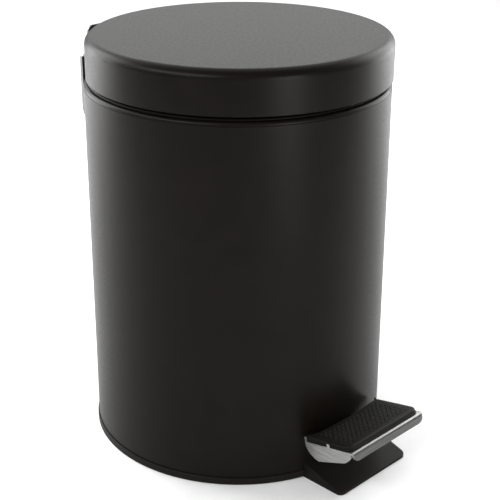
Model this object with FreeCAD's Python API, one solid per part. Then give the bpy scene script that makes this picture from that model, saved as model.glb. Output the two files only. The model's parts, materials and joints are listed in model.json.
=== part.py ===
import FreeCAD, Part
import math
import os

# Round pedal bin, 5 litre class. Millimetres, +Z up. The origin is on the bin's axis at the
# surface it stands on. The pedal is at -Y and the lid's hinge at +Y.

V = FreeCAD.Vector
X_AXIS = V(1, 0, 0)
Z_AXIS = V(0, 0, 1)
ORIGIN = V(0, 0, 0)
FULL_TURN = 360.0

# --- driving dimensions -------------------------------------------------------------------
BODY_R = 102.5            # outside of the sheet steel body
SHEET = 0.8               # body and lid sheet
TOTAL_H = 283.1           # floor to the top of the lid

RING_R = 103.4            # base moulding's outer ring
RING_H = 5.0
RING_WALL = 3.0
SHELL_Z0 = 6.0            # lower edge of the body; the gap below it is the shadow groove
BASE_PLATE_Z = (2.5, 4.5)
SPIGOT_R = (99.3, 101.5)  # wall that the body slips over
SPIGOT_TOP = 16.0

BEAD_TOP = 251.8          # rolled top edge of the body
BEAD_R = 2.4              # the bead's round outer shoulder
BEAD_INNER_R = 98.9
BEAD_GROOVE = 0.35        # depth of the fine line under the bead

RIM_R = 99.6              # plastic rim ring's flange, set back from the body
RIM_TOP = 252.9
RIM_FLANGE_IN = 95.9
RIM_SKIRT_R = (96.9, 98.6)
RIM_SKIRT_Z0 = 241.0
RIM_LEDGE_R = 92.0
RIM_LEDGE_Z = (244.0, 245.5)

LID_R = 101.9
LID_Y = -1.6              # the lid's axis lies this far forward, clear of its hinge
LID_Z0 = 254.8
LID_EDGE_R = 6.0
HEM_IN_R = 96.4
HEM_H = 1.2
LID_CHAMFER = 0.4

HINGE_Y = 107.2
HINGE_Z = 254.0
HINGE_PIN_R = 2.0
RUNNING_GAP = 0.05
CLIP_T = 1.0              # spring clips on the hinge pin and the push rod
CLIP_GAP = 0.3
KNUCKLE_R = 3.5
PIN_CLIP_R = 3.1
PIN_END = 1.8             # how far the pin stands out of the last knuckle
LID_KNUCKLE_X = 29.3      # half length of the lid leaf's knuckle
BODY_KNUCKLE_X = (30.0, 42.6)
LEAF_HALF_X = 43.5
LEAF_Y0 = 103.6
LEAF_T = 1.5
LEAF_TOP = 277.0
LEAF_CORNER_R = 5.0
LEAF_RIVET_X = 14.0
LEAF_RIVET_Z = 268.0
LEAF_BOSS_R = 4.5         # bosses that hold the leaf off the lid's curved skirt
LEAF_STEP_Z = 258.2       # the leaf is full width above this height, clear of the knuckles
BRACKET_Y0 = 102.7
BRACKET_T = 2.4
BRACKET_HALF_X = 50.5
BRACKET_Z = (205.0, 256.6)
BRACKET_WAIST_Z = 246.0   # top of the bracket between its knuckles
BRACKET_CORNER_R = 16.0
BRACKET_RIVET_X = 17.0
BRACKET_RIVET_Z = (216.0, 237.0)
RIVET_R = 2.0
RIVET_DOME_R = 3.6
RIVET_DOME_RISE = 1.4
RIVET_HEAD_R = 3.2
RIVET_HEAD_T = 1.2
RECESSED_HEAD = 2.1       # from the curved sheet's inside to the rivets' flat heads

CRANK_Y = 92.0            # push rod's pivot in the lid's crank arm
CRANK_Z = 243.5
ARM_X = (3.0, 5.6)
ARM_HALF_W = 3.5
ARM_EYE_R = 4.0
ARM_SLOT_Z = (244.6, 256.0)   # slot in the body's top edge that the crank arm swings through
ARM_SLOT_GAP = 1.6
ROD_NOTCH_GAP = 2.0
ROD_R = 2.0
ROD_Z0 = 7.5
ROD_TOP_X = 8.6           # end of the rod's bent top, along X
CLIP_R = 3.6
COLLAR_R = 4.5
COLLAR_H = 2.0
COLLAR_GAP = 0.6          # play between the collar and the lever's fork at rest

PIVOT_Y = -32.0           # pedal lever's axle
PIVOT_Z = 12.5
AXLE_R = 2.5
BUSH_R = 3.5
HUB_R = 5.2
HUB_HALF_X = 12.5
LEVER_T = 3.0
LEVER_HALF_W = 12.0
LEVER_REAR_HALF_W = 8.0
LEVER_REAR_Y = 97.4
LEVER_FRONT = 98.0        # along the pedal, from the axle
FORK_HALF_W = 2.6
FORK_Y0 = 85.6
AXLE_HALF_X = 23.5
POST_X = (14.0, 22.0)
POST_HALF_Y = 9.0
CAP_TOP = 17.5
CAP_SCREW_Y = 5.9         # screws' distance from the axle
SCREW_R = 1.25
SCREW_HEAD_R = 2.4
SCREW_HEAD_H = 1.6
RECESS_HALF = (1.6, 0.4)  # half length and half width of each arm of the cross recess
RECESS_DEPTH = 0.7
BUSH_FLANGE_T = 0.8

PEDAL_TILT = 12.0         # the pedal slopes up to the front at rest, degrees
PEDAL_HALF_W = 36.8
PLATE_T = 1.2
PLATE_H0 = LEVER_T / 2    # heights on the pedal are counted from the lever's middle
PLATE_H1 = PLATE_H0 + PLATE_T
PEDAL_REAR_Y = -103.2     # middle of the pedal's hollow rear edge, just outside the body
PEDAL_REAR_R = 280.0
PAD_T = 3.8
PAD_HALF_W = 36.0
PAD_FRONT = 109.0         # distances along the pedal are counted from the lever's axle
PAD_CORNER_R = 5.0
PLATE_FRONT = 109.4
LIP_R = 2.1
LIP_BOTTOM = -3.7
LIP_CORNER_R = 5.8
LIP_END_R = 1.8           # round ends of the lip, seen from above
FLANGE_T = 1.0            # the plate's folded sides and their tabs
TAB_GAP = 0.02            # between the tabs and the pad
REAR_TAB = (69.8, 71.6)   # from and to, along the pedal
MIDDLE_TAB = (89.2, 91.6)
MIDDLE_TAB_H = 2.4
PEDAL_RIVET_X = 6.0
PEDAL_RIVET_AT = (78.0, 92.0)

FOOT_HALF_W = 34.6
FOOT_FRONT_Y = -130.2
FOOT_REAR_Y = -96.0
FOOT_REAR_Z = 12.0
FOOT_FRONT_Z = 1.8
FOOT_WALL = 2.0
FOOT_CORNER_R = 4.0

WINDOW_HALF_X = 14.5      # lever's window in the body and in the spigot
WINDOW_Z = (9.0, 31.0)

BUCKET_TOP_R = 84.6
BUCKET_BOTTOM_R = 79.0
BUCKET_Z = (36.0, 247.2)
BUCKET_WALL = 1.5
BUCKET_FLANGE_R = 96.3
BUCKET_FLANGE_T = 1.6
BUCKET_FOOT_R = 4.0       # round edge at the bucket's bottom
EAR_X = (91.5, 93.5)
EAR_HALF_Y = 5.0
EAR_H = 3.4               # above the bail's axis
EAR_CORNER_R = 3.0
BAIL_Z = 249.0
BAIL_R = 88.0
BAIL_WIRE_R = 1.5
BAIL_END_X = 95.2

FOOT_PAD_R = 6.0
FOOT_PAD_RING_R = 84.0
FOOT_PAD_CHAMFER = 0.5
BUFFER_R = 1.5
BUFFER_SUNK = 1.2
BUFFER_RING_R = 97.9
BUFFER_TOP = 254.6


# --- helpers ------------------------------------------------------------------------------
def cylinder(radius, start, end):
    """A round bar from one point to another."""
    run = end.sub(start)
    return Part.makeCylinder(radius, run.Length, start, run)


def box(x_range, y_range, z_range):
    low = V(x_range[0], y_range[0], z_range[0])
    return Part.makeBox(
        x_range[1] - x_range[0], y_range[1] - y_range[0], z_range[1] - z_range[0], low
    )


def tube(outer, inner, start, end):
    return cylinder(outer, start, end).cut(cylinder(inner, start, end))


def outline(points):
    """A closed wire of straight runs; a pair of points in place of one is an arc through them."""
    edges = []
    here = points[0]
    for step in points[1:] + [points[0]]:
        if isinstance(step, tuple):
            middle, end = step
            edges.append(Part.Arc(here, middle, end).toShape())
            here = end
        elif here.distanceToPoint(step) > 1e-6:
            edges.append(Part.LineSegment(here, step).toShape())
            here = step
    return Part.Wire(edges)


def lathe(points):
    """A solid of revolution about Z; points are (radius, height)."""
    placed = [
        tuple(V(r, 0, z) for r, z in p) if isinstance(p[0], tuple) else V(p[0], 0, p[1])
        for p in points
    ]
    return Part.Face(outline(placed)).revolve(ORIGIN, Z_AXIS, FULL_TURN)


def corner_arc(centre, radius, middle_deg, end_deg):
    """Middle and end of an arc, in a plane's own two coordinates."""
    return tuple(
        (
            centre[0] + radius * math.cos(math.radians(a)),
            centre[1] + radius * math.sin(math.radians(a)),
        )
        for a in (middle_deg, end_deg)
    )


def mirrored(shape):
    """The shape and its mirror image across the bin's middle plane."""
    return [shape, shape.mirror(ORIGIN, X_AXIS)]


def fuse(shapes):
    return shapes[0].multiFuse(shapes[1:]).removeSplitter()


def drilled(shape, spots, radius):
    """The shape with a round hole of that radius from the start to the end of each spot."""
    for start, end in spots:
        shape = shape.cut(cylinder(radius, start, end))
    return shape


def polar(radius, degrees, z=0.0):
    a = math.radians(degrees)
    return V(radius * math.cos(a), radius * math.sin(a), z)


def on_pedal(shape):
    """Tilts a shape drawn level, with the lever's axle at its origin, to the pedal's slope."""
    tilted = shape.copy()
    tilted.rotate(ORIGIN, X_AXIS, -PEDAL_TILT)
    tilted.translate(V(0, PIVOT_Y, PIVOT_Z))
    return tilted


# --- body ---------------------------------------------------------------------------------
def lever_window():
    """Room for the pedal lever, through the front of the body and of the base's wall."""
    return box((-WINDOW_HALF_X, WINDOW_HALF_X), (-BODY_R - 1, -SPIGOT_R[0] + 8), WINDOW_Z)


def body_shell():
    inner = BODY_R - SHEET
    shoulder_r = BODY_R - BEAD_R
    shoulder_z = BEAD_TOP - BEAD_R
    curl = (shoulder_r - BEAD_INNER_R) / 2
    profile = [
        (inner, SHELL_Z0),
        (BODY_R, SHELL_Z0),
        (BODY_R, shoulder_z - 2 * BEAD_GROOVE),
        ((BODY_R - BEAD_GROOVE, shoulder_z - BEAD_GROOVE), (BODY_R, shoulder_z)),
        corner_arc((shoulder_r, shoulder_z), BEAD_R, 45, 90),
        corner_arc((BEAD_INNER_R + 2 * curl, BEAD_TOP - 2 * curl), 2 * curl, 135, 180),
        (BEAD_INNER_R, BEAD_TOP - 3 * curl),
        (inner, shoulder_z - 4 * BEAD_GROOVE),
    ]
    slot_x = (ARM_X[0] - ARM_SLOT_GAP, ARM_X[1] + ARM_SLOT_GAP)
    slot = box(slot_x, (RIM_SKIRT_R[0], BODY_R + 1), ARM_SLOT_Z)
    shell = lathe(profile).cut(lever_window()).cut(slot)
    return drilled(shell, bracket_rivet_spots(), RIVET_R)


def rim_ring():
    profile = [
        (RIM_SKIRT_R[1], RIM_SKIRT_Z0),
        (RIM_SKIRT_R[1], BEAD_TOP + 0.1),
        (RIM_R, BEAD_TOP + 0.1),
        (RIM_R, RIM_TOP - 0.5),
        (RIM_R - 0.5, RIM_TOP),
        (RIM_FLANGE_IN, RIM_TOP),
        (RIM_FLANGE_IN, BEAD_TOP + 0.1),
        (RIM_SKIRT_R[0], BEAD_TOP - 0.9),
        (RIM_SKIRT_R[0], RIM_LEDGE_Z[1]),
        (RIM_LEDGE_R, RIM_LEDGE_Z[1]),
        (RIM_LEDGE_R, RIM_LEDGE_Z[0]),
        (RIM_SKIRT_R[0], RIM_LEDGE_Z[0]),
        (RIM_SKIRT_R[0], RIM_SKIRT_Z0),
    ]
    ring = lathe(profile).cut(rod_notch(RIM_SKIRT_Z0 - 1, RIM_TOP + 1))
    return drilled(ring, buffer_spots(), BUFFER_R)


def rod_notch(z0, z1):
    """Room for the push rod, its bent top and the crank arm, at the back of the rim."""
    gap = ROD_NOTCH_GAP
    return box((-ROD_R - gap, ROD_TOP_X + gap), (BUCKET_TOP_R + 0.1, RIM_R + gap), (z0, z1))


def buffer_spots():
    return [
        (polar(BUFFER_RING_R, a, RIM_TOP - BUFFER_SUNK), polar(BUFFER_RING_R, a, BUFFER_TOP))
        for a in (-90, 30, 150)
    ]


def lid_buffers():
    return Part.makeCompound([cylinder(BUFFER_R, a, b) for a, b in buffer_spots()])


# --- base ---------------------------------------------------------------------------------
def foot_wedge(half_w, front_y, corner_r, z_drop):
    """The foot's wedge, from inside the ring to its front edge, z_drop below its own surface."""
    slope = (FOOT_REAR_Z - FOOT_FRONT_Z) / (FOOT_REAR_Y - FOOT_FRONT_Y)
    side = [
        V(-half_w, FOOT_REAR_Y, 0),
        V(-half_w, front_y, 0),
        V(-half_w, front_y, FOOT_FRONT_Z - z_drop + slope * (front_y - FOOT_FRONT_Y)),
        V(-half_w, FOOT_REAR_Y, FOOT_REAR_Z - z_drop),
    ]
    wedge = Part.Face(outline(side)).extrude(V(2 * half_w, 0, 0))
    plan = box((-half_w, half_w), (front_y, FOOT_REAR_Y), (0, FOOT_REAR_Z + 1))
    upright = [e for e in plan.Edges if abs(e.tangentAt(0).z) > 0.99]
    front = [e for e in upright if e.Vertexes[0].Point.y < front_y + 1]
    return wedge.common(plan.makeFillet(corner_r, front))


def axle_post(caps):
    """One bearing post, or its cap, with half of the axle's bore."""
    z_range = (PIVOT_Z, CAP_TOP) if caps else (BASE_PLATE_Z[1] - 0.5, PIVOT_Z)
    post = box(POST_X, (PIVOT_Y - POST_HALF_Y, PIVOT_Y + POST_HALF_Y), z_range)
    post = post.cut(axle_bar(AXLE_R + RUNNING_GAP))
    for y in (PIVOT_Y - CAP_SCREW_Y, PIVOT_Y + CAP_SCREW_Y):
        post = post.cut(cap_screw_shank(y, RUNNING_GAP))
    return post


def cap_screw_shank(y, gap):
    x = sum(POST_X) / 2
    return cylinder(SCREW_R + gap, V(x, y, BASE_PLATE_Z[1] + 1.0 - gap), V(x, y, CAP_TOP))


def axle_bar(radius):
    return cylinder(radius, V(-AXLE_HALF_X, PIVOT_Y, PIVOT_Z), V(AXLE_HALF_X, PIVOT_Y, PIVOT_Z))


def base_moulding():
    ring = lathe(
        [
            (RING_R - RING_WALL, 0),
            (RING_R - 0.6, 0),
            (RING_R, 0.6),
            (RING_R, RING_H - 0.8),
            ((RING_R - 0.25, RING_H - 0.25), (RING_R - 0.8, RING_H)),
            (SPIGOT_R[1] + 0.5, RING_H),
            (SPIGOT_R[1] + 0.5, SHELL_Z0 - 0.05),
            (SPIGOT_R[1], SHELL_Z0 - 0.05),
            (SPIGOT_R[1], SPIGOT_TOP),
            (SPIGOT_R[0], SPIGOT_TOP),
            (SPIGOT_R[0], BASE_PLATE_Z[1]),
            (0, BASE_PLATE_Z[1]),
            (0, BASE_PLATE_Z[0]),
            (RING_R - RING_WALL, BASE_PLATE_Z[0]),
        ]
    )
    inside = Part.makeCylinder(BODY_R + 0.2, FOOT_REAR_Z + 1, V(0, 0, SHELL_Z0 - 0.05))
    foot = foot_wedge(FOOT_HALF_W, FOOT_FRONT_Y, FOOT_CORNER_R, 0)
    hollow = foot_wedge(
        FOOT_HALF_W - FOOT_WALL, FOOT_FRONT_Y + FOOT_WALL, FOOT_CORNER_R - FOOT_WALL, FOOT_WALL
    )
    behind_ring = Part.makeCylinder(RING_R - 0.1, FOOT_REAR_Z + 1)
    foot = foot.cut(hollow.cut(behind_ring)).cut(inside)
    posts = mirrored(axle_post(caps=False))
    base = fuse([ring, foot] + posts)
    return base.cut(lever_window())


def rubber_feet():
    pads = []
    for a in (45, 135, 225, 315):
        top = polar(FOOT_PAD_RING_R, a, BASE_PLATE_Z[0])
        foot = cylinder(FOOT_PAD_R, polar(FOOT_PAD_RING_R, a), top)
        sole_edge = [e for e in foot.Edges if e.BoundBox.ZMax < 0.1]
        pads.append(foot.makeChamfer(FOOT_PAD_CHAMFER, sole_edge))
    return Part.makeCompound(pads)


def axle_caps():
    return Part.makeCompound(mirrored(axle_post(caps=True)))


def axle_cap_screws():
    screws = []
    x = sum(POST_X) / 2
    top = CAP_TOP + SCREW_HEAD_H
    recess_z = (top - RECESS_DEPTH, top + 1)
    for y in (PIVOT_Y - CAP_SCREW_Y, PIVOT_Y + CAP_SCREW_Y):
        screw = cylinder(SCREW_HEAD_R, V(x, y, CAP_TOP), V(x, y, top)).fuse(cap_screw_shank(y, 0))
        for half_x, half_y in (RECESS_HALF, RECESS_HALF[::-1]):
            screw = screw.cut(box((x - half_x, x + half_x), (y - half_y, y + half_y), recess_z))
        screws += mirrored(screw)
    return Part.makeCompound(screws)


def lever_axle():
    return axle_bar(AXLE_R)


# --- lid and its hinge --------------------------------------------------------------------
def lid():
    inner_r = LID_R - SHEET
    edge_in = LID_EDGE_R - SHEET
    top_in = TOTAL_H - SHEET
    edge_z = TOTAL_H - LID_EDGE_R
    profile = [
        (HEM_IN_R, LID_Z0),
        (LID_R - LID_CHAMFER, LID_Z0),
        (LID_R, LID_Z0 + LID_CHAMFER),
        (LID_R, edge_z),
        corner_arc((LID_R - LID_EDGE_R, edge_z), LID_EDGE_R, 45, 90),
        (0, TOTAL_H),
        (0, top_in),
        (LID_R - LID_EDGE_R, top_in),
        corner_arc((LID_R - LID_EDGE_R, edge_z), edge_in, 45, 0),
        (inner_r, LID_Z0 + HEM_H),
        (HEM_IN_R, LID_Z0 + HEM_H),
    ]
    shell = lathe(profile).translated(V(0, LID_Y, 0))
    return drilled(shell, lid_rivet_spots(), RIVET_R)


def plate(half_x, y_range, z_range, corner_r, corner_z):
    """A flat plate that faces the back, with its two corners at one height rounded."""
    slab = box((-half_x, half_x), y_range, z_range)
    corners = [
        e
        for e in slab.Edges
        if abs(e.tangentAt(0).y) > 0.99 and abs(e.CenterOfMass.z - corner_z) < 0.01
    ]
    return slab.makeFillet(corner_r, corners)


def lid_hinge_leaf():
    """A leaf that stands off the lid's curved skirt, with its knuckle and the crank arm."""
    leaf_y = (LEAF_Y0, LEAF_Y0 + LEAF_T)
    wide = plate(LEAF_HALF_X, leaf_y, (LEAF_STEP_Z, LEAF_TOP), LEAF_CORNER_R, LEAF_TOP)
    neck = box((-LID_KNUCKLE_X, LID_KNUCKLE_X), leaf_y, (HINGE_Z + 0.4, LEAF_STEP_Z + 1))
    start = V(-LID_KNUCKLE_X, HINGE_Y, HINGE_Z)
    end = V(LID_KNUCKLE_X, HINGE_Y, HINGE_Z)
    pieces = [wide, neck, cylinder(KNUCKLE_R, start, end), crank_arm()]
    for x in (-LEAF_RIVET_X, LEAF_RIVET_X):
        foot = V(x, LID_Y + LID_R - 0.4, LEAF_RIVET_Z)
        pieces.append(cylinder(LEAF_BOSS_R, foot, V(x, LEAF_Y0, LEAF_RIVET_Z)))
    eye = (V(ARM_X[0], CRANK_Y, CRANK_Z), V(ARM_X[1], CRANK_Y, CRANK_Z))
    leaf = drilled(fuse(pieces), [(start, end)], HINGE_PIN_R + RUNNING_GAP)
    leaf = drilled(leaf, [eye], ROD_R + RUNNING_GAP)
    return drilled(leaf, lid_rivet_spots(), RIVET_R)


def crank_arm():
    """A flat arm from the lid's knuckle, through the slot, to the push rod."""
    eye = cylinder(ARM_EYE_R, V(ARM_X[0], CRANK_Y, CRANK_Z), V(ARM_X[1], CRANK_Y, CRANK_Z))
    run = V(0, CRANK_Y - HINGE_Y, CRANK_Z - HINGE_Z)
    side = V(0, -run.z, run.y).normalize().multiply(ARM_HALF_W)
    near = V(ARM_X[0], HINGE_Y, HINGE_Z)
    far = near.add(run)
    strip = Part.Face(outline([near.add(side), far.add(side), far.sub(side), near.sub(side)]))
    return eye.fuse(strip.extrude(V(ARM_X[1] - ARM_X[0], 0, 0)))


def lid_rivet_spots():
    inside = LID_Y + LID_R - SHEET - RECESSED_HEAD
    return [
        (V(x, inside, LEAF_RIVET_Z), V(x, LEAF_Y0 + LEAF_T, LEAF_RIVET_Z))
        for x in (-LEAF_RIVET_X, LEAF_RIVET_X)
    ]


def lid_rivets():
    return Part.makeCompound([rivet(start, end) for start, end in lid_rivet_spots()])


def rivet(start, end):
    """A solid rivet: shank between the two points, a low dome outside and a flat head inside."""
    run = end.sub(start).normalize()
    shank = cylinder(RIVET_R, start, end)
    inner_head = cylinder(RIVET_HEAD_R, start.sub(V(run).multiply(RIVET_HEAD_T)), start)
    rise = RIVET_DOME_RISE
    ball_r = (RIVET_DOME_R**2 + rise**2) / (2 * rise)
    ball = Part.makeSphere(ball_r, end.sub(V(run).multiply(ball_r - rise)))
    dome = ball.common(cylinder(RIVET_DOME_R, end, end.add(V(run).multiply(rise))))
    return fuse([shank, inner_head, dome])


def hinge_bracket():
    y_range = (BRACKET_Y0, BRACKET_Y0 + BRACKET_T)
    back = plate(BRACKET_HALF_X, y_range, BRACKET_Z, BRACKET_CORNER_R, BRACKET_Z[0])
    x0, x1 = BODY_KNUCKLE_X
    waist = box((-x0, x0), (BRACKET_Y0 - 1, HINGE_Y), (BRACKET_WAIST_Z, BRACKET_Z[1] + 1))
    knuckle = cylinder(KNUCKLE_R, V(x0, HINGE_Y, HINGE_Z), V(x1, HINGE_Y, HINGE_Z))
    room_end = x1 + PIN_END + CLIP_GAP
    clip_room = cylinder(PIN_CLIP_R + CLIP_GAP, V(x1, HINGE_Y, HINGE_Z), V(room_end, HINGE_Y, HINGE_Z))
    bracket = fuse([back.cut(waist)] + mirrored(knuckle))
    for room in mirrored(clip_room):
        bracket = bracket.cut(room)
    bracket = bracket.cut(hinge_bar(HINGE_PIN_R + RUNNING_GAP))
    return drilled(bracket, bracket_rivet_spots(), RIVET_R)


def hinge_bar(radius):
    end_x = BODY_KNUCKLE_X[1] + PIN_END
    return cylinder(radius, V(-end_x, HINGE_Y, HINGE_Z), V(end_x, HINGE_Y, HINGE_Z))


def bracket_rivet_spots():
    y_in = BODY_R - SHEET - RECESSED_HEAD
    y_out = BRACKET_Y0 + BRACKET_T
    return [
        (V(x, y_in, z), V(x, y_out, z))
        for x in (-BRACKET_RIVET_X, BRACKET_RIVET_X)
        for z in BRACKET_RIVET_Z
    ]


def bracket_rivets():
    return Part.makeCompound([rivet(start, end) for start, end in bracket_rivet_spots()])


def hinge_pin():
    return hinge_bar(HINGE_PIN_R)


def hinge_pin_clips():
    x0 = BODY_KNUCKLE_X[1] + CLIP_GAP
    clip = tube(PIN_CLIP_R, HINGE_PIN_R, V(x0, HINGE_Y, HINGE_Z), V(x0 + CLIP_T, HINGE_Y, HINGE_Z))
    return Part.makeCompound(mirrored(clip))


# --- push rod -----------------------------------------------------------------------------
def push_rod():
    upright = cylinder(ROD_R, V(0, CRANK_Y, ROD_Z0), V(0, CRANK_Y, CRANK_Z))
    elbow = Part.makeSphere(ROD_R, V(0, CRANK_Y, CRANK_Z))
    bent_top = cylinder(ROD_R, V(0, CRANK_Y, CRANK_Z), V(ROD_TOP_X, CRANK_Y, CRANK_Z))
    return fuse([upright, elbow, bent_top])


def rod_clip():
    x0 = ARM_X[1] + CLIP_GAP
    return tube(CLIP_R, ROD_R, V(x0, CRANK_Y, CRANK_Z), V(x0 + CLIP_T, CRANK_Y, CRANK_Z))


def rod_collar():
    z0 = PIVOT_Z + LEVER_T / 2 + COLLAR_GAP
    return tube(COLLAR_R, ROD_R, V(0, CRANK_Y, z0), V(0, CRANK_Y, z0 + COLLAR_H))


# --- pedal --------------------------------------------------------------------------------
def pedal_lever():
    """A steel strip, level behind the axle and sloping up in front of it, with a hub and a fork."""
    half_t = LEVER_T / 2
    front = on_pedal(box((-LEVER_HALF_W, LEVER_HALF_W), (-LEVER_FRONT, 0), (-half_t, half_t)))
    z_range = (PIVOT_Z - half_t, PIVOT_Z + half_t)
    rear = box((-LEVER_REAR_HALF_W, LEVER_REAR_HALF_W), (PIVOT_Y, LEVER_REAR_Y), z_range)
    fork = box((-FORK_HALF_W, FORK_HALF_W), (FORK_Y0, LEVER_REAR_Y + 1), z_range)
    hub_ends = V(-HUB_HALF_X, PIVOT_Y, PIVOT_Z), V(HUB_HALF_X, PIVOT_Y, PIVOT_Z)
    lever = fuse([front, rear.cut(fork), cylinder(HUB_R, *hub_ends)])
    lever = drilled(lever, [hub_ends], BUSH_R)
    return drilled(lever, pedal_rivet_spots(), RIVET_R)


def lever_bushes():
    """Flanged plastic sleeves between the lever's hub and the axle."""
    inner = AXLE_R + RUNNING_GAP
    sleeve = tube(BUSH_R, inner, V(0.5, PIVOT_Y, PIVOT_Z), V(HUB_HALF_X, PIVOT_Y, PIVOT_Z))
    x0 = HUB_HALF_X
    flange = tube(HUB_R, inner, V(x0, PIVOT_Y, PIVOT_Z), V(x0 + BUSH_FLANGE_T, PIVOT_Y, PIVOT_Z))
    return Part.makeCompound(mirrored(fuse([sleeve, flange])))


def pedal_plan(half_w, front, corner_r, h_range, rear_gap):
    """A slab on the pedal: square front with rounded corners, hollow rear edge round the body."""
    slab = box((-half_w, half_w), (-front, -front / 2), h_range)
    corners = [
        e for e in slab.Edges if abs(e.tangentAt(0).z) > 0.99 and e.CenterOfMass.y < -front + 1
    ]
    slab = on_pedal(slab.makeFillet(corner_r, corners))
    rear_r = PEDAL_REAR_R + rear_gap
    return slab.cut(Part.makeCylinder(rear_r, 80, V(0, PEDAL_REAR_Y + PEDAL_REAR_R, 0)))


def side_flange():
    """The plate's side, folded down in a half moon, with its two tabs that hold the pad."""
    x0 = PEDAL_HALF_W - FLANGE_T
    side = [
        (REAR_TAB[0], PLATE_H1),
        (REAR_TAB[0], 0.0),
        ((73.8, -6.0), (80.2, -9.4)),
        (101.0, -6.0),
        ((106.0, -3.9), (PLATE_FRONT, 0.0)),
        (PLATE_FRONT, PLATE_H1),
    ]
    placed = [
        tuple(V(x0, -s, h) for s, h in p) if isinstance(p[0], tuple) else V(x0, -p[0], p[1])
        for p in side
    ]
    pieces = [Part.Face(outline(placed)).extrude(V(FLANGE_T, 0, 0))]
    for (near, far), rise in ((REAR_TAB, PAD_T - CLIP_GAP), (MIDDLE_TAB, MIDDLE_TAB_H)):
        tab_x = (PAD_HALF_W + TAB_GAP, PEDAL_HALF_W)
        pieces.append(box(tab_x, (-far, -near), (PLATE_H0, PLATE_H1 + rise)))
    return fuse(pieces)


def front_lip():
    """The plate's front edge, rolled over and down, with round lower corners."""
    start = PLATE_FRONT - 0.5
    bend = PLATE_FRONT
    outer = LIP_R
    inner = LIP_R - PLATE_T
    centre_h = PLATE_H1 - outer
    s45 = math.sin(math.radians(45))
    section = [
        V(-PEDAL_HALF_W, -start, PLATE_H1),
        V(-PEDAL_HALF_W, -bend, PLATE_H1),
        (
            V(-PEDAL_HALF_W, -bend - outer * s45, centre_h + outer * s45),
            V(-PEDAL_HALF_W, -bend - outer, centre_h),
        ),
        V(-PEDAL_HALF_W, -bend - outer, LIP_BOTTOM),
        V(-PEDAL_HALF_W, -bend - inner, LIP_BOTTOM),
        V(-PEDAL_HALF_W, -bend - inner, centre_h),
        (
            V(-PEDAL_HALF_W, -bend - inner * s45, centre_h + inner * s45),
            V(-PEDAL_HALF_W, -bend, PLATE_H0),
        ),
        V(-PEDAL_HALF_W, -start, PLATE_H0),
    ]
    lip = Part.Face(outline(section)).extrude(V(2 * PEDAL_HALF_W, 0, 0))
    mask_y = (-bend - outer, -start + 1)
    front = box((-PEDAL_HALF_W, PEDAL_HALF_W), mask_y, (LIP_BOTTOM, PLATE_H1))
    lower = [e for e in front.Edges if abs(e.tangentAt(0).y) > 0.99 and e.CenterOfMass.z < 0]
    upright = [e for e in front.Edges if abs(e.tangentAt(0).z) > 0.99 and e.CenterOfMass.y < -bend]
    lip = lip.common(front.makeFillet(LIP_CORNER_R, lower))
    return lip.common(front.makeFillet(LIP_END_R, upright))


def pedal_plate():
    sheet = pedal_plan(PEDAL_HALF_W, PLATE_FRONT, 0.5, (PLATE_H0, PLATE_H1), 0)
    pieces = [sheet, on_pedal(front_lip())]
    pieces += [on_pedal(flange) for flange in mirrored(side_flange())]
    return drilled(fuse(pieces), pedal_rivet_spots(), RIVET_R)


def pedal_pad():
    return pedal_plan(PAD_HALF_W, PAD_FRONT, PAD_CORNER_R, (PLATE_H1, PLATE_H1 + PAD_T), 0.3)


def pedal_rivet_spots():
    slope = math.radians(PEDAL_TILT)
    forward = V(0, -math.cos(slope), math.sin(slope))
    up = V(0, math.sin(slope), math.cos(slope))
    axle = V(0, PIVOT_Y, PIVOT_Z)
    spots = []
    for distance in PEDAL_RIVET_AT:
        for x in (-PEDAL_RIVET_X, PEDAL_RIVET_X):
            foot = axle.add(V(forward).multiply(distance)).add(V(x, 0, 0))
            start = foot.add(V(up).multiply(-LEVER_T / 2))
            end = foot.add(V(up).multiply(PLATE_H1))
            spots.append((start, end))
    return spots


def pedal_rivets():
    rivets = []
    for start, end in pedal_rivet_spots():
        down = start.sub(end).normalize()
        head = cylinder(RIVET_HEAD_R, start, start.add(down.multiply(RIVET_HEAD_T)))
        rivets.append(fuse([cylinder(RIVET_R, start, end), head]))
    return Part.makeCompound(rivets)


# --- inner bucket -------------------------------------------------------------------------
def inner_bucket():
    z0, z1 = BUCKET_Z
    wall_top = z1 - BUCKET_FLANGE_T
    foot_r = BUCKET_FOOT_R
    bucket = lathe(
        [
            (0, z0),
            (BUCKET_BOTTOM_R - foot_r, z0),
            corner_arc((BUCKET_BOTTOM_R - foot_r, z0 + foot_r), foot_r, -45, 0),
            (BUCKET_TOP_R, wall_top),
            (BUCKET_FLANGE_R, wall_top),
            (BUCKET_FLANGE_R, z1),
            (BUCKET_TOP_R - BUCKET_WALL, z1),
            (BUCKET_BOTTOM_R - BUCKET_WALL, z0 + foot_r),
            (BUCKET_BOTTOM_R - foot_r, z0 + BUCKET_WALL),
            (0, z0 + BUCKET_WALL),
        ]
    )
    ear = box(EAR_X, (-EAR_HALF_Y, EAR_HALF_Y), (z1 - 0.5, BAIL_Z + EAR_H))
    upper = [e for e in ear.Edges if abs(e.tangentAt(0).x) > 0.99 and e.CenterOfMass.z > BAIL_Z]
    ear = ear.makeFillet(EAR_CORNER_R, upper)
    bucket = fuse([bucket] + mirrored(ear)).cut(rod_notch(wall_top - 1, z1 + 1))
    ends = V(-BAIL_END_X, 0, BAIL_Z), V(BAIL_END_X, 0, BAIL_Z)
    return bucket.cut(cylinder(BAIL_WIRE_R + 0.08, *ends))


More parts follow.
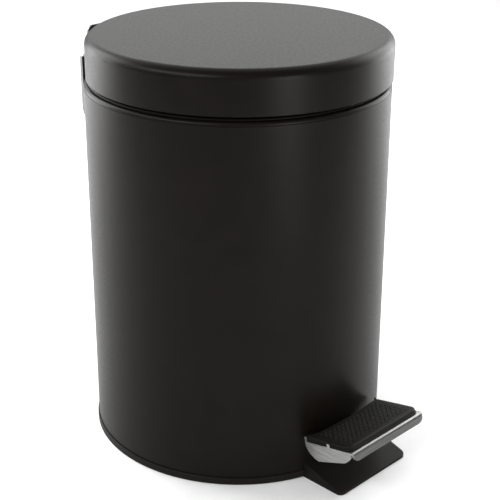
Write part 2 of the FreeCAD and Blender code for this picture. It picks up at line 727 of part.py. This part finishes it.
def bucket_bail():
    """A half hoop of wire that lies on the front half of the bucket's rim."""
    hoop = Part.makeTorus(BAIL_R, BAIL_WIRE_R, V(0, 0, BAIL_Z), Z_AXIS)
    front_half = box((-BAIL_R - 5, BAIL_R + 5), (-BAIL_R - 5, 0), (BAIL_Z - 3, BAIL_Z + 3))
    elbow = V(BAIL_R, 0, BAIL_Z)
    end = cylinder(BAIL_WIRE_R, elbow, V(BAIL_END_X, 0, BAIL_Z))
    knee = Part.makeSphere(BAIL_WIRE_R, elbow)
    return fuse([hoop.common(front_half)] + mirrored(end) + mirrored(knee))


PARTS = [
    body_shell,
    rim_ring,
    lid_buffers,
    base_moulding,
    rubber_feet,
    axle_caps,
    axle_cap_screws,
    lever_axle,
    lid,
    lid_hinge_leaf,
    lid_rivets,
    hinge_bracket,
    bracket_rivets,
    hinge_pin,
    hinge_pin_clips,
    push_rod,
    rod_clip,
    rod_collar,
    pedal_lever,
    lever_bushes,
    pedal_plate,
    pedal_pad,
    pedal_rivets,
    inner_bucket,
    bucket_bail,
]


def main():
    os.makedirs("parts", exist_ok=True)
    for make in PARTS:
        shape = make()
        name = make.__name__
        print(f"{name:18s} solids {len(shape.Solids)} volume {shape.Volume:10.1f} {shape.isValid()}")
        shape.exportStep(f"parts/{name}.step")


main()
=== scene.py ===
import json
import math

import bmesh
import bpy
from mathutils import Matrix, Vector


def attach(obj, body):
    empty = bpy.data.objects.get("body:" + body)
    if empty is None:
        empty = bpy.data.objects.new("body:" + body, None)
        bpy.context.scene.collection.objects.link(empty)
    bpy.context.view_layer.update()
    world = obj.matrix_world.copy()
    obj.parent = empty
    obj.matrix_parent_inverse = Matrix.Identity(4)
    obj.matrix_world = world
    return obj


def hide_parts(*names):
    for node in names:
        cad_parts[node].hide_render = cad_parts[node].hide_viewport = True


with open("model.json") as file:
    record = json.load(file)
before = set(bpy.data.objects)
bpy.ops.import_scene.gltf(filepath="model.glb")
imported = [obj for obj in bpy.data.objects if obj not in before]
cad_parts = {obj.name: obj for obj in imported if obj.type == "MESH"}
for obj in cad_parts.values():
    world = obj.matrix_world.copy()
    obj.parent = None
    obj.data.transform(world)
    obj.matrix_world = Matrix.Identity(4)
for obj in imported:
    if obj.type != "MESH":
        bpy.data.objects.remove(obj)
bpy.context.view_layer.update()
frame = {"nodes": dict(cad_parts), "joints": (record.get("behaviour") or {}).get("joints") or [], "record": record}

MM = 0.001
UNIT_SQUARE = ((-1, -1), (1, -1), (1, 1), (-1, 1))
NODES = frame["nodes"]
SUBPARTS = {part["node"]: part for part in frame["record"]["subparts"]}
BODIES = frame["record"]["behaviour"]["bodies"]
BODY_OF = {node: body for body, nodes in BODIES.items() for node in nodes}
PIVOT = {joint["name"]: Vector(joint["pos_m"]) for joint in frame["joints"]}


# --- mesh helpers -------------------------------------------------------------------------
def mesh_object(name, points, faces):
    """A new object from points in metres and faces."""
    mesh = bpy.data.meshes.new(name)
    mesh.from_pydata([tuple(p) for p in points], [], faces)
    mesh.validate()
    piece = bpy.data.objects.new(name, mesh)
    bpy.context.scene.collection.objects.link(piece)
    return piece


def applied(piece):
    """Replaces the piece's mesh by what its modifiers make of it."""
    graph = bpy.context.evaluated_depsgraph_get()
    mesh = bpy.data.meshes.new_from_object(piece.evaluated_get(graph))
    piece.modifiers.clear()
    piece.data = mesh
    return piece


def shade(piece, sharp_deg):
    """Smooth shading, except over edges sharper than that angle."""
    work = bmesh.new()
    work.from_mesh(piece.data)
    limit = math.radians(sharp_deg)
    for face in work.faces:
        face.smooth = True
    for edge in work.edges:
        edge.smooth = len(edge.link_faces) == 2 and edge.calc_face_angle() < limit
    work.to_mesh(piece.data)
    work.free()


def stand_for(piece, node):
    """The piece rides with the CAD node's body, replaces it and takes its finish."""
    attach(piece, BODY_OF[node])
    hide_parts(node)
    slot = SUBPARTS[node]["material_slot"]
    piece.data.materials.clear()
    piece.data.materials.append(MATERIALS[slot])
    return piece


# --- softened edges -----------------------------------------------------------------------
# Pressed and moulded pieces keep their CAD shape and get the small round edges of the real ones.
# The widths are in millimetres and the angles in degrees.
SOFT_EDGES = {
    "pedal_plate": 0.28,
    "hinge_bracket": 0.45,
    "lid_hinge_leaf": 0.35,
    "base_moulding": 0.30,
    "pedal_lever": 0.50,
    "inner_bucket": 0.40,
}
WELD_MM = 0.002
FLAT_DEG = 0.5            # faces closer to one plane than this become one face
ROUNDED_DEG = 32          # edges sharper than this are rounded
EDGE_STEPS = 2
SMOOTH_DEG = 40           # edges blunter than this are shaded smooth
FLAT_FACES_FIRST = 100    # how far large faces set the shading normals, of 100


def soften(node, width):
    """A copy of the CAD node with round edges, which replaces it."""
    source = NODES[node]
    piece = bpy.data.objects.new(node + "_soft", source.data.copy())
    bpy.context.scene.collection.objects.link(piece)
    work = bmesh.new()
    work.from_mesh(piece.data)
    bmesh.ops.remove_doubles(work, verts=work.verts, dist=WELD_MM * MM)
    bmesh.ops.dissolve_limit(
        work, angle_limit=math.radians(FLAT_DEG), verts=work.verts, edges=work.edges
    )
    work.to_mesh(piece.data)
    work.free()
    if piece.data.has_custom_normals:
        piece.data.normals_split_custom_set([(0, 0, 0)] * len(piece.data.loops))
    bevel = piece.modifiers.new("edges", "BEVEL")
    bevel.width = width * MM
    bevel.segments = EDGE_STEPS
    bevel.limit_method = "ANGLE"
    bevel.angle_limit = math.radians(ROUNDED_DEG)
    bevel.use_clamp_overlap = True
    applied(piece)
    shade(piece, SMOOTH_DEG)
    level = piece.modifiers.new("normals", "WEIGHTED_NORMAL")
    level.weight = FLAT_FACES_FIRST
    level.keep_sharp = True
    applied(piece)
    return stand_for(piece, node)


# --- pedal pad ----------------------------------------------------------------------------
# Pedal coordinates: x across, s along the pedal from the lever's axle, h above its middle plane.
PEDAL_TILT = math.radians(12.0)
PAD_HALF_W = 36.0
PAD_FRONT = 109.0
PAD_BASE = 2.7            # h of the plate's upper face
PAD_T = 3.8
PAD_CORNER_R = 5.0
PAD_REAR_R = 280.3        # hollow rear edge, about an upright axis
PAD_REAR_Y = -103.5
PAD_HEM = 0.55            # the hem round the pad's foot stands out by this much
PAD_HEM_H = 1.15
PAD_FOOT = 0.2            # the bevels at the hem's lower and upper edge
PAD_FOOT_IN = 0.25
PAD_HEM_BEVEL = 0.3
PAD_HEM_STEP = 0.1        # the hem's upper face rises this much towards the wall
PAD_ROUND = 1.3
PAD_ROUND_STEPS = 5
PAD_CORNER_SHRINK = 0.6   # how fast the corner's radius shrinks with the inset
PAD_SHARP_DEG = 35
RIB_H = 0.28
RIB_LENGTH = 3.1
RIB_WIDTH = 1.15
RIB_PITCH = (4.15, 2.15)
RIB_MARGIN = 4.6
RIB_FIRST = 5.4           # the first row, from the pad's front edge
RIB_REAR_MARGIN = 3.1     # bare strip along the rear edge
RIB_LAST = 60.0           # no rib lies nearer to the axle
RIB_ROOT = 0.3            # each rib reaches this deep into the pad
RIB_BEVEL = (0.15, 0.3)   # height and width of the bevel round its top
CORNER_STEPS = 8
REAR_STEPS = 28


def pad_rear(x, h):
    """Where the pad's rear edge lies, along the pedal, at a place across it."""
    y = PAD_REAR_Y + PAD_REAR_R - math.sqrt(PAD_REAR_R**2 - x**2)
    down = PIVOT["pedal_pivot"].y / MM - y
    return (down + h * math.sin(PEDAL_TILT)) / math.cos(PEDAL_TILT)


def pad_outline(inset):
    """Points (x, s) round the pad, inset from its edge; always the same number of them."""
    half_w = PAD_HALF_W - inset
    radius = PAD_CORNER_R - inset * PAD_CORNER_SHRINK
    points = []
    for side, first, last in ((1, 90, 0), (-1, 180, 90)):
        for step in range(CORNER_STEPS + 1):
            a = math.radians(first + (last - first) * step / CORNER_STEPS)
            x = side * (half_w - radius) + radius * math.cos(a)
            points.append((x, PAD_FRONT - inset - radius + radius * math.sin(a)))
        if side == 1:
            front_right = points
            points = []
    rear = []
    for step in range(REAR_STEPS + 1):
        x = half_w * (1 - 2 * step / REAR_STEPS)
        rear.append((x, pad_rear(x, PAD_BASE) + inset))
    return front_right + rear + points


def pad_profile():
    """(inset, height) up the pad's side: hem, wall and the rounded upper edge."""
    top = PAD_T - RIB_H
    profile = [
        (PAD_FOOT_IN, 0.0),
        (0.0, PAD_FOOT),
        (0.0, PAD_HEM_H - PAD_HEM_BEVEL),
        (PAD_FOOT, PAD_HEM_H),
        (PAD_HEM, PAD_HEM_H + PAD_HEM_STEP),
    ]
    for step in range(PAD_ROUND_STEPS + 1):
        a = math.radians(90 * step / PAD_ROUND_STEPS)
        profile.append(
            (PAD_HEM + PAD_ROUND * (1 - math.cos(a)), top - PAD_ROUND + PAD_ROUND * math.sin(a))
        )
    return profile


def on_pedal(x, s, h):
    """A place in the frame, in metres, from pedal coordinates."""
    y = -s * math.cos(PEDAL_TILT) + h * math.sin(PEDAL_TILT)
    z = s * math.sin(PEDAL_TILT) + h * math.cos(PEDAL_TILT)
    return PIVOT["pedal_pivot"] + Vector((x, y, z)) * MM


def pad_block():
    """The pad without its ribs."""
    points = []
    faces = []
    loops = []
    for inset, height in pad_profile():
        loops.append([len(points) + i for i in range(len(pad_outline(inset)))])
        points += [on_pedal(x, s, PAD_BASE + height) for x, s in pad_outline(inset)]
    for lower, upper in zip(loops, loops[1:]):
        for i in range(len(lower)):
            j = (i + 1) % len(lower)
            faces.append((lower[i], upper[i], upper[j], lower[j]))
    faces.append(tuple(loops[0]))
    faces.append(tuple(reversed(loops[-1])))
    return mesh_object("pad_block", points, faces)


def pad_ribs():
    """Rows of short raised ribs, each row set half a step from the last."""
    points = []
    faces = []
    low = PAD_BASE + PAD_T - RIB_H - RIB_ROOT
    top = PAD_BASE + PAD_T
    rows = int((PAD_FRONT - RIB_LAST) / RIB_PITCH[1])
    columns = int(PAD_HALF_W / RIB_PITCH[0]) + 1
    for row in range(rows):
        s = PAD_FRONT - RIB_FIRST - row * RIB_PITCH[1]
        shift = RIB_PITCH[0] / 2 * (row % 2)
        for column in range(-columns, columns + 1):
            x = column * RIB_PITCH[0] + shift
            if abs(x) + RIB_LENGTH / 2 > PAD_HALF_W - RIB_MARGIN:
                continue
            if s - RIB_WIDTH < pad_rear(x, PAD_BASE + PAD_T) + RIB_REAR_MARGIN:
                continue
            start = len(points)
            for h, shrink in ((low, 0.0), (top - RIB_BEVEL[0], 0.0), (top, RIB_BEVEL[1])):
                half_l = (RIB_LENGTH - shrink) / 2
                half_w = (RIB_WIDTH - shrink) / 2
                points += [on_pedal(x + u * half_l, s + v * half_w, h) for u, v in UNIT_SQUARE]
            for level in (0, 4):
                for i in range(4):
                    j = (i + 1) % 4
                    a = start + level
                    faces.append((a + j, a + i, a + 4 + i, a + 4 + j))
            faces.append(tuple(start + i for i in range(4)))
            faces.append(tuple(start + 8 + i for i in (3, 2, 1, 0)))
    return mesh_object("pad_ribs", points, faces)


def make_pad():
    """The ribbed pad, as one closed mesh, which replaces the CAD pad."""
    pad = pad_block()
    ribs = pad_ribs()
    union = pad.modifiers.new("ribs", "BOOLEAN")
    union.operation = "UNION"
    union.solver = "EXACT"
    union.object = ribs
    applied(pad)
    bpy.data.objects.remove(ribs, do_unlink=True)
    pad.name = "pedal_pad_ribbed"
    shade(pad, PAD_SHARP_DEG)
    stand_for(pad, "pedal_pad")


# --- camera -------------------------------------------------------------------------------
VIEW_AZIMUTH = math.radians(-45.0)
VIEW_ELEVATION = math.radians(22.26)
VIEW_DISTANCE = 0.836
VIEW_TARGET = Vector((0.0, 0.0, 0.1413))
LENS_MM = 85.7
SENSOR_MM = 36.0
SHIFT = (0.0241, -0.0390)


def make_camera():
    data = bpy.data.cameras.new("camera")
    data.lens = LENS_MM
    data.sensor_width = SENSOR_MM
    data.shift_x, data.shift_y = SHIFT
    data.clip_start = 0.05
    data.clip_end = 50.0
    camera = bpy.data.objects.new("camera", data)
    bpy.context.scene.collection.objects.link(camera)
    back = Vector(
        (
            math.sin(VIEW_AZIMUTH) * math.cos(VIEW_ELEVATION),
            -math.cos(VIEW_AZIMUTH) * math.cos(VIEW_ELEVATION),
            math.sin(VIEW_ELEVATION),
        )
    )
    right = Vector((0, 0, 1)).cross(back).normalized()
    up = back.cross(right)
    turn = Matrix((right, up, back)).transposed().to_4x4()
    camera.matrix_world = Matrix.Translation(VIEW_TARGET + back * VIEW_DISTANCE) @ turn
    bpy.context.scene.camera = camera


# --- studio -------------------------------------------------------------------------------
WORLD_STRENGTH = 0.38
AIM = (0.0, 0.0, 0.14)
# name, azimuth in degrees (0 is the camera's side), distance, height, (width, height), watts
SOFTBOXES = (
    ("top", 180, 1.0, 2.2, (2.6, 2.6), 20),
    ("back", 180, 1.9, 0.95, (2.4, 0.7), 10.5),
    ("left", -120, 1.1, 0.45, (0.8, 1.1), 21),
    ("right", 126, 1.1, 0.45, (0.9, 1.1), 19),
    ("front_right", 34, 1.1, 0.22, (0.3, 0.44), 4.5),
    ("front_left", -48, 1.0, 0.8, (1.2, 0.1), 9),
)
FLOOR_REACH = 8.0
FLOOR_Z = -0.0002


def area_light(name, place, aim, size, watts):
    data = bpy.data.lights.new(name, "AREA")
    data.shape = "RECTANGLE"
    data.size, data.size_y = size
    data.energy = watts
    light = bpy.data.objects.new(name, data)
    bpy.context.scene.collection.objects.link(light)
    light.location = place
    light.rotation_euler = (Vector(aim) - Vector(place)).to_track_quat("-Z", "Y").to_euler()
    return light


def around(azimuth_deg, distance, height):
    """A place by its direction from the bin; 0 degrees is the camera's side."""
    a = VIEW_AZIMUTH + math.radians(azimuth_deg)
    return (math.sin(a) * distance, -math.cos(a) * distance, height)


def make_studio():
    world = bpy.data.worlds.new("studio")
    bpy.context.scene.world = world
    world.use_nodes = True
    background = world.node_tree.nodes["Background"]
    background.inputs["Color"].default_value = (1.0, 1.0, 1.0, 1.0)
    background.inputs["Strength"].default_value = WORLD_STRENGTH
    for name, azimuth, distance, height, size, watts in SOFTBOXES:
        area_light(name, around(azimuth, distance, height), AIM, size, watts)
    floor = mesh_object("floor", *floor_sheet())
    floor.data.materials.append(floor_paper())


def floor_sheet():
    """A square of paper a hair below the feet, so that nothing shares its plane."""
    corners = [(x * FLOOR_REACH, y * FLOOR_REACH, FLOOR_Z) for x, y in UNIT_SQUARE]
    return corners, [(0, 1, 2, 3)]


# --- materials ----------------------------------------------------------------------------
def new_material(name):
    material = bpy.data.materials.new(name)
    material.use_nodes = True
    nodes = material.node_tree.nodes
    return material, nodes, material.node_tree.links, nodes["Principled BSDF"]


def noise(nodes, links, scale, detail=2.0, stretch=(1, 1, 1)):
    """Noise in object space; scale is in features per metre."""
    place = nodes.new("ShaderNodeTexCoord")
    mapping = nodes.new("ShaderNodeMapping")
    mapping.inputs["Scale"].default_value = stretch
    texture = nodes.new("ShaderNodeTexNoise")
    texture.inputs["Scale"].default_value = scale
    texture.inputs["Detail"].default_value = detail
    links.new(place.outputs["Object"], mapping.inputs["Vector"])
    links.new(mapping.outputs["Vector"], texture.inputs["Vector"])
    return texture.outputs["Fac"]


def ramp(nodes, links, source, low, high, start=0.3, end=0.7):
    """Maps a noise value onto a range of greys or colours."""
    node = nodes.new("ShaderNodeValToRGB")
    node.color_ramp.elements[0].position = start
    node.color_ramp.elements[1].position = end
    node.color_ramp.elements[0].color = low if len(low) == 4 else (*low, 1)
    node.color_ramp.elements[1].color = high if len(high) == 4 else (*high, 1)
    links.new(source, node.inputs["Fac"])
    return node.outputs["Color"]


def bump(nodes, links, height, distance, strength=1.0, normal=None):
    node = nodes.new("ShaderNodeBump")
    node.inputs["Distance"].default_value = distance
    node.inputs["Strength"].default_value = strength
    links.new(height, node.inputs["Height"])
    if normal is not None:
        links.new(normal, node.inputs["Normal"])
    return node.outputs["Normal"]


FINE_TO_COARSE = 8        # the roughness varies this many times finer than the colour


def surface(
    name, colours, roughness, grain, specular=0.5, metallic=0.0, stretch=(1, 1, 1), coarse=60.0
):
    """A material whose colour and roughness vary between two values and whose surface has a grain.

    grain is a list of (features per metre, height in metres); coarse is the colour's features per
    metre.
    """
    material, nodes, links, shader = new_material(name)
    drift = noise(nodes, links, coarse, 3.0, stretch)
    links.new(ramp(nodes, links, drift, colours[0], colours[1]), shader.inputs["Base Color"])
    fine = noise(nodes, links, coarse * FINE_TO_COARSE, 2.0, stretch)
    low, high = roughness
    links.new(ramp(nodes, links, fine, (low,) * 3, (high,) * 3), shader.inputs["Roughness"])
    normal = None
    for scale, height in grain:
        normal = bump(nodes, links, noise(nodes, links, scale, 2.0, stretch), height, 1.0, normal)
    links.new(normal, shader.inputs["Normal"])
    shader.inputs["Specular IOR Level"].default_value = specular
    shader.inputs["Metallic"].default_value = metallic
    return material


LIP_START = 109.4         # along the pedal, where the steel begins to turn down into its front lip
LIP_PAINTED_SHADE = 0.30           # what the lip's front keeps of the steel's colour under the painted shade
LIP_BLEND = 1.8           # the length over which the painted shade fades in


def paint_lip_shade(material):
    """Paints shade into the steel's colour where it is folded down at the front of the pedal, standing in for the
    dark reflection on the lip's front.
    """
    nodes = material.node_tree.nodes
    links = material.node_tree.links
    forward = Vector((0, -math.cos(PEDAL_TILT), math.sin(PEDAL_TILT)))
    place = nodes.new("ShaderNodeTexCoord")
    along = nodes.new("ShaderNodeVectorMath")
    along.operation = "DOT_PRODUCT"
    along.inputs[1].default_value = forward
    links.new(place.outputs["Object"], along.inputs[0])
    fold = nodes.new("ShaderNodeMapRange")
    start = PIVOT["pedal_pivot"].dot(forward) + LIP_START * MM
    fold.inputs["From Min"].default_value = start
    fold.inputs["From Max"].default_value = start + LIP_BLEND * MM
    fold.inputs["To Min"].default_value = 1.0
    fold.inputs["To Max"].default_value = LIP_PAINTED_SHADE
    links.new(along.outputs["Value"], fold.inputs["Value"])
    shader = nodes["Principled BSDF"]
    lip_shaded_colour = nodes.new("ShaderNodeVectorMath")
    lip_shaded_colour.operation = "SCALE"
    links.new(shader.inputs["Base Color"].links[0].from_socket, lip_shaded_colour.inputs[0])
    links.new(fold.outputs["Result"], lip_shaded_colour.inputs["Scale"])
    links.new(lip_shaded_colour.outputs["Vector"], shader.inputs["Base Color"])


MATERIALS = {
    "powder_coat": surface(
        "powder_coat", ((0.0036, 0.0027, 0.0018), (0.0050, 0.0038, 0.0026)), (0.33, 0.39),
        [(350, 0.000003), (1500, 0.000002)], specular=0.09,
    ),
    "black_plastic": surface(
        "black_plastic", ((0.0045, 0.0036, 0.0028), (0.0065, 0.0054, 0.0044)), (0.46, 0.58),
        [(900, 0.00002), (2600, 0.00001)], specular=0.10,
    ),
    "pad_rubber": surface(
        "pad_rubber", ((0.0050, 0.0043, 0.0037), (0.0080, 0.0071, 0.0063)), (0.5, 0.62),
        [(1200, 0.00003)], specular=0.12,
    ),
    "satin_steel": surface(
        "satin_steel", ((0.30, 0.30, 0.29), (0.46, 0.46, 0.45)), (0.24, 0.38),
        [(2200, 0.000006)], metallic=1.0, stretch=(0.03, 0.03, 1.0), coarse=1600.0,
    ),
    "zinc_steel": surface(
        "zinc_steel", ((0.15, 0.152, 0.155), (0.21, 0.213, 0.217)), (0.34, 0.46),
        [(700, 0.000006)], metallic=1.0,
    ),
    "foot_rubber": surface(
        "foot_rubber", ((0.012, 0.012, 0.012), (0.02, 0.02, 0.02)), (0.65, 0.8), [(900, 0.00004)],
    ),
    "bucket_plastic": surface(
        "bucket_plastic", ((0.012, 0.012, 0.012), (0.017, 0.017, 0.017)), (0.4, 0.5),
        [(700, 0.00002)],
    ),
    "bush_nylon": surface(
        "bush_nylon", ((0.70, 0.69, 0.64), (0.78, 0.77, 0.73)), (0.35, 0.45), [(600, 0.00001)],
    ),
}


# painted shade on the satin steel at the pedal's front lip
paint_lip_shade(MATERIALS["satin_steel"])


def floor_paper():
    return surface("floor_paper", ((0.90, 0.90, 0.90), (0.93, 0.93, 0.93)), (0.85, 0.95), [(300, 0.00002)])


def dress_nodes():
    for part in frame["record"]["subparts"]:
        node = NODES[part["node"]]
        node.data.materials.clear()
        node.data.materials.append(MATERIALS[part["material_slot"]])


make_camera()
make_studio()
dress_nodes()
for node, width in SOFT_EDGES.items():
    soften(node, width)
make_pad()
bpy.context.scene.view_settings.view_transform = "Standard"
